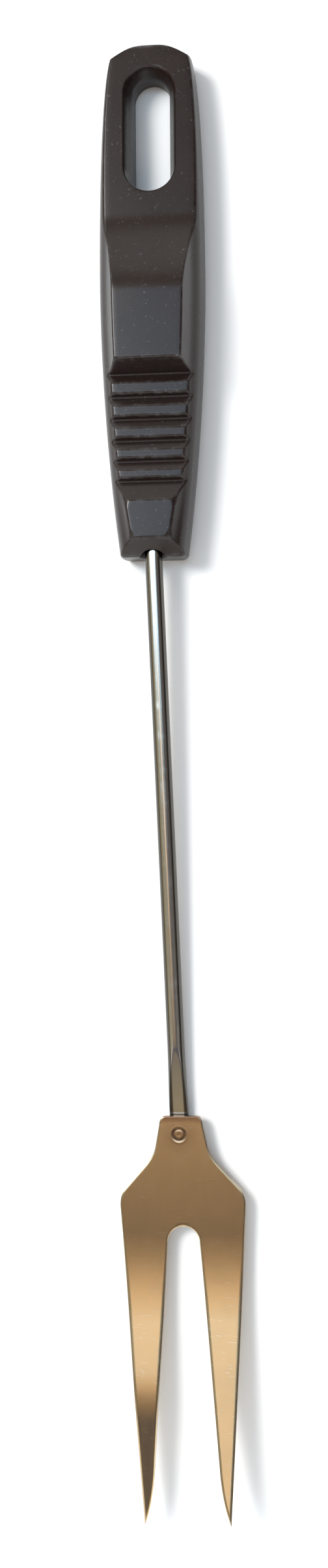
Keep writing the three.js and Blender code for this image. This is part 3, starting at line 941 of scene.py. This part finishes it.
class Graph:
    """The nodes of one material or world."""

    def __init__(self, owner):
        owner.use_nodes = True
        self.tree = owner.node_tree
        self.tree.nodes.clear()

    def node(self, kind, settings, sockets, output=0):
        """Adds a node: its settings first, then the values or links of its sockets."""
        made = self.tree.nodes.new(kind)
        for name, value in settings.items():
            setattr(made, name, value)
        for name, value in sockets.items():
            if isinstance(value, Field):
                self.tree.links.new(value.socket, made.inputs[name])
            else:
                made.inputs[name].default_value = value
        return Field(self, made.outputs[output]) if made.outputs else None

    def place(self):
        """Object coordinates in millimetres."""
        point = self.node("ShaderNodeTexCoord", {}, {}, "Object")
        return self.node("ShaderNodeVectorMath", {"operation": "SCALE"}, {0: point, "Scale": 1000.0})

    def stretched(self, point, x, y, z):
        return self.node("ShaderNodeVectorMath", {"operation": "MULTIPLY"}, {0: point, 1: (x, y, z)})

    def noise(self, point, scale, detail=3.0, roughness=0.5):
        sockets = {"Vector": point, "Scale": scale, "Detail": detail, "Roughness": roughness}
        return self.node("ShaderNodeTexNoise", {}, sockets, "Fac")

    def part(self, vector, axis):
        return self.node("ShaderNodeSeparateXYZ", {}, {0: vector}, axis)

    def ramp(self, value, low, high):
        """Rises from 0 to 1 between two values."""
        sockets = {"Value": value, "From Min": low, "From Max": high}
        return self.node("ShaderNodeMapRange", {"interpolation_type": "SMOOTHSTEP"}, sockets)

    def band(self, value, opens, closes):
        """1 between two soft edges, and 0 outside them."""
        return self.ramp(value, *opens) * self.ramp(-value, -closes[1], -closes[0])

    def mix(self, share, first, second):
        """Goes from the first colour to the second."""
        sockets = {"Factor": share, 6: first, 7: second}
        return self.node("ShaderNodeMix", {"data_type": "RGBA"}, sockets, 2)

    def attribute(self, name):
        return self.node("ShaderNodeAttribute", {"attribute_name": name}, {}, "Fac")

    def bump(self, height, strength, distance):
        sockets = {"Strength": strength, "Distance": distance, "Height": height}
        return self.node("ShaderNodeBump", {}, sockets)

    def surface(self, **sockets):
        """The Principled shader with its output, from sockets named in lower case."""
        named = {
            name.replace("_", " ").title().replace("Ior", "IOR"): value
            for name, value in sockets.items()
        }
        shader = self.node("ShaderNodeBsdfPrincipled", {}, named)
        self.node("ShaderNodeOutputMaterial", {}, {"Surface": shader})


def rgba(colour, shade=1.0):
    """A colour for a socket, with its brightness scaled."""
    return (*[shade * part for part in colour], 1.0)


def phenolic_material(colours):
    """Dark brown moulding: fine grain, faint clouding, pale dust, worn rib edges, and painted shade on
    the slot's walls.
    """
    material = bpy.data.materials.new("dark_phenolic")
    g = Graph(material)
    point = g.place()
    cloud = g.noise(point, scale=0.12, detail=4.0, roughness=0.6)
    grain = g.noise(point, scale=4.2, detail=4.0, roughness=0.7)
    speck = g.noise(point, scale=1.9, detail=2.0, roughness=0.7)
    dust = g.noise(point, scale=0.45, detail=4.0, roughness=0.7)
    # Above zero: worn edges and proud places. Below zero: painted shade on the slot's walls
    rubbed = g.attribute("rubbed")
    tone = g.mix(g.ramp(cloud, 0.3, 0.7), rgba(colours.phenolic), rgba(colours.phenolic, 1.25))
    # Painted shade: the slot's walls are darkened to half the moulding's colour, and made rougher
    recess = g.ramp(-rubbed, 0.2, 0.9)
    tone = g.mix(recess, tone, rgba(colours.phenolic, 0.5))
    fine = g.ramp(grain, 0.55, 0.8) * 0.03
    specks = g.ramp(speck, 0.63, 0.70) * 0.30
    pale_edges = rubbed.clamped() * g.ramp(dust, 0.4, 0.68) * 0.12
    share = (fine + specks * g.ramp(dust, 0.45, 0.6) + pale_edges).clamped()
    g.surface(
        base_color=g.mix(share, tone, rgba(colours.phenolic_dust)),
        roughness=(0.23 + 0.12 * grain + 0.4 * recess).clamped(),
        specular_ior_level=0.36,
        normal=g.bump(grain + 0.4 * speck, strength=0.22, distance=0.03 * MM),
    )
    return material


def rod_material(colours):
    """Bright drawn bar: faint lines along its length, a few dull patches, and painted shade on its
    sides, where its reflections would be dimmer.
    """
    material = bpy.data.materials.new("bright_drawn_bar")
    g = Graph(material)
    point = g.place()
    lines = g.noise(g.stretched(point, 5.0, 0.06, 5.0), scale=1.0, detail=3.0, roughness=0.6)
    dull = g.noise(point, scale=0.3, detail=4.0, roughness=0.6)
    tone = g.mix(g.ramp(dull, 0.35, 0.75) * 0.5, rgba(colours.rod), rgba(colours.rod, 0.82))
    # Painted shade on the bar's sides, where its reflections would be dimmer
    flank = g.ramp(g.attribute("flank"), 0.46, 0.68)
    tone = g.mix(flank * 0.95, tone, rgba(colours.rod_flank))
    g.surface(
        base_color=tone,
        metallic=1.0,
        roughness=(0.13 + 0.10 * lines + 0.08 * g.ramp(dull, 0.5, 0.8)).clamped(),
        normal=g.bump(lines, strength=0.1, distance=0.01 * MM),
    )
    return material


def plate_material(colours):
    """Satin stamped plate: rolled grain along it, light scratches, heat tint round the weld."""
    material = bpy.data.materials.new("satin_plate")
    g = Graph(material)
    point = g.place()
    rolled = g.noise(g.stretched(point, 3.2, 0.12, 3.2), scale=1.0, detail=4.0, roughness=0.6)
    cloud = g.noise(point, scale=0.10, detail=3.0, roughness=0.5)
    across = g.noise(g.stretched(point, 0.5, 9.0, 1.0), scale=0.9, detail=2.0, roughness=0.5)
    scratched = g.ramp(across, 0.685, 0.71)
    tone = g.mix(g.ramp(cloud, 0.35, 0.7) * 0.6, rgba(colours.plate), rgba(colours.plate, 0.88))
    heat = g.ramp(g.attribute("blueing"), 0.1, 0.95) * 0.9
    tinted = g.mix(heat, tone, rgba(colours.heat_tint))
    g.surface(
        base_color=g.mix(scratched * 0.35, tinted, rgba(colours.scratch)),
        metallic=1.0,
        roughness=(0.15 + 0.07 * rolled + 0.03 * cloud).clamped(),
        normal=g.bump(rolled - 0.6 * scratched, strength=0.10, distance=0.03 * MM),
    )
    return material


def weld_material(colours):
    """Fused weld metal, dull and blued."""
    material = bpy.data.materials.new("fused_weld_steel")
    g = Graph(material)
    clots = g.noise(g.place(), scale=1.8, detail=4.0, roughness=0.6)
    g.surface(
        base_color=g.mix(clots, rgba(colours.heat_tint), rgba(colours.plate, 0.6)),
        metallic=1.0,
        roughness=(0.45 + 0.2 * clots).clamped(),
        normal=g.bump(clots, strength=0.4, distance=0.1 * MM),
    )
    return material


def floor_material(colours):
    """Pale, matt floor with a very faint tooth."""
    material = bpy.data.materials.new("pale_floor")
    g = Graph(material)
    tooth = g.noise(g.place(), scale=0.6)
    g.surface(
        base_color=rgba(colours.floor),
        roughness=(0.85 + 0.1 * tooth).clamped(),
        specular_ior_level=0.2,
    )
    return material


def finish(piece, material):
    """Gives a piece one material."""
    piece.data.materials.clear()
    piece.data.materials.append(material)


# --- Studio ---


def build_floor(colours):
    """A plain square floor, just under the fork and far wider than it."""
    low, high = CAD_BOX
    reach = 40 * (high - low).length
    corners = [(-reach, -reach), (reach, -reach), (reach, reach), (-reach, reach)]
    drop = 0.02 * MM
    vertices = [(x, y, low.z - drop) for x, y in corners]
    floor = add_object("studio_floor", vertices, [(0, 1, 2, 3)])
    finish(floor, floor_material(colours))


def add_softbox(name, place, target, side, power, tint):
    """A square area light that points at a target."""
    light = bpy.data.lights.new(name, "AREA")
    light.size = side
    light.energy = power
    light.color = tint
    lamp = bpy.data.objects.new(name, light)
    lamp.location = place
    lamp.rotation_euler = (target - place).to_track_quat("-Z", "Y").to_euler()
    bpy.context.scene.collection.objects.link(lamp)


def build_dome(studio):
    """Dome of soft cards: dark on the right, beige on the left, bright over the handle and tines."""
    world = bpy.data.worlds.new("studio_dome")
    bpy.context.scene.world = world
    g = Graph(world)
    towards = g.node("ShaderNodeTexCoord", {}, {}, "Generated")
    x, y, z = (g.part(towards, axis) for axis in "XYZ")
    raised = g.ramp(z, *RAISED_Z)
    tines = g.band(y, *TINE_CARD_Y) * g.band(x, *TINE_CARD_X)
    flats = g.band(y, *HANDLE_CARD_Y) * g.band(x, *HANDLE_CARD_X)
    lefts = g.ramp(y * y, *LEFT_CARDS_Y_SQUARED) * raised * g.ramp(-x, *LEFT_CARDS_X)
    right = g.ramp(-y, *RIGHT_CARD_Y) * g.ramp(x, *RIGHT_CARD_X) * raised
    ends = (g.ramp(y, *FAR_LIGHT_Y) + g.ramp(-y, *NEAR_LIGHT_Y)).clamped()
    cards = (
        (g.ramp(x, *OVERHEAD_X), studio.dome_middle),
        (g.ramp(x, *RIGHT_X), studio.dome_right),
        (g.ramp(y, *FAR_END_Y), studio.far_end),
        (g.ramp(-y, *NEAR_END_Y), studio.near_end),
        (g.band(y, *DARK_CARD_Y), studio.dark_card),
        (tines, studio.tine_card),
        (flats, studio.handle_card),
        (lefts, studio.left_cards),
        (right, studio.right_card),
        (ends, studio.end_light),
    )
    shade = rgba(studio.dome_left)
    for share, tint in cards:
        shade = g.mix(share, shade, rgba(tint))
    light = g.node("ShaderNodeBackground", {}, {"Color": shade, "Strength": studio.sky_strength})
    g.node("ShaderNodeOutputWorld", {}, {"Surface": light})


def build_lights(studio):
    middle = (CAD_BOX[0] + CAD_BOX[1]) / 2
    place = middle + Vector(KEY_DIRECTION).normalized() * KEY_DISTANCE
    add_softbox("key_softbox", place, middle, KEY_SIDE, studio.key_power, KEY_TINT)
    build_dome(studio)


def build_camera(studio):
    """A camera over the fork whose picture has the handle at the top."""
    lens = bpy.data.cameras.new("front_camera")
    lens.sensor_width = 36.0
    lens.lens = studio.camera_lens
    camera = bpy.data.objects.new("front_camera", lens)
    aim = Vector(CAMERA_AIM)
    camera.location = aim + Vector((studio.camera_side, 0.0, studio.camera_height - aim.z))
    back = (camera.location - aim).normalized()
    right = Vector((0.0, 1.0, 0.0)).cross(back).normalized()
    look = Matrix((right, back.cross(right), back)).transposed()
    turn = look @ Matrix.Rotation(studio.camera_roll, 3, "Z")
    camera.rotation_euler = turn.to_euler()
    bpy.context.scene.collection.objects.link(camera)
    bpy.context.scene.camera = camera


# --- Operators ---


class FORK_OT_handle(Operator):
    """Build the moulded handle"""

    bl_idname = "fork.handle"
    bl_label = "Handle"
    bl_options = {"REGISTER", "UNDO"}

    def execute(self, context):
        scene = context.scene
        handle = build_handle(scene.fork_handle, scene.fork_shank)
        finish(handle, phenolic_material(scene.fork_colours))
        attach(handle, "root")
        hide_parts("handle")
        return {"FINISHED"}


class FORK_OT_shank(Operator):
    """Build the drawn shank"""

    bl_idname = "fork.shank"
    bl_label = "Shank"
    bl_options = {"REGISTER", "UNDO"}

    def execute(self, context):
        scene = context.scene
        shank = build_shank(scene.fork_shank)
        finish(shank, rod_material(scene.fork_colours))
        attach(shank, "root")
        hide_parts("shank")
        return {"FINISHED"}


class FORK_OT_head(Operator):
    """Build the stamped head, and finish the weld under it"""

    bl_idname = "fork.head"
    bl_label = "Head and weld"
    bl_options = {"REGISTER", "UNDO"}

    def execute(self, context):
        scene = context.scene
        head = build_head(scene.fork_head, scene.fork_shank)
        finish(head, plate_material(scene.fork_colours))
        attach(head, "root")
        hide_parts("fork_head")
        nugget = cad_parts["weld_nugget"]
        finish(nugget, weld_material(scene.fork_colours))
        return {"FINISHED"}


class FORK_OT_studio(Operator):
    """Set up the floor, the lights and the camera"""

    bl_idname = "fork.studio"
    bl_label = "Studio"
    bl_options = {"REGISTER", "UNDO"}

    def execute(self, context):
        scene = context.scene
        build_camera(scene.fork_studio)
        build_floor(scene.fork_colours)
        build_lights(scene.fork_studio)
        scene.view_settings.view_transform = "Standard"
        return {"FINISHED"}


class VIEW3D_PT_fork(Panel):
    """Sizes, colours and pieces of the fork"""

    bl_label = "Roasting Fork"
    bl_idname = "VIEW3D_PT_fork"
    bl_space_type = "VIEW_3D"
    bl_region_type = "UI"
    bl_category = "Fork"

    def draw(self, context):
        for group, _, operator in GROUPS:
            settings = getattr(context.scene, group)
            box = self.layout.box()
            for name in settings.__annotations__:
                box.prop(settings, name)
            if operator:
                box.operator(operator)


GROUPS = (
    ("fork_handle", HandleSizes, "fork.handle"),
    ("fork_shank", ShankSizes, "fork.shank"),
    ("fork_head", HeadSizes, "fork.head"),
    ("fork_colours", FinishColours, None),
    ("fork_studio", StudioSettings, "fork.studio"),
)
OTHER_CLASSES = (FORK_OT_handle, FORK_OT_shank, FORK_OT_head, FORK_OT_studio, VIEW3D_PT_fork)


def register():
    for name, group, _ in GROUPS:
        bpy.utils.register_class(group)
        setattr(bpy.types.Scene, name, PointerProperty(type=group))
    for made in OTHER_CLASSES:
        bpy.utils.register_class(made)


def unregister():
    for made in reversed(OTHER_CLASSES):
        bpy.utils.unregister_class(made)
    for name, group, _ in reversed(GROUPS):
        delattr(bpy.types.Scene, name)
        bpy.utils.unregister_class(group)


def main():
    """Registers the add-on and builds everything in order."""
    register()
    bpy.ops.fork.studio()
    bpy.ops.fork.handle()
    bpy.ops.fork.shank()
    bpy.ops.fork.head()


if __name__ == "__main__":
    main()
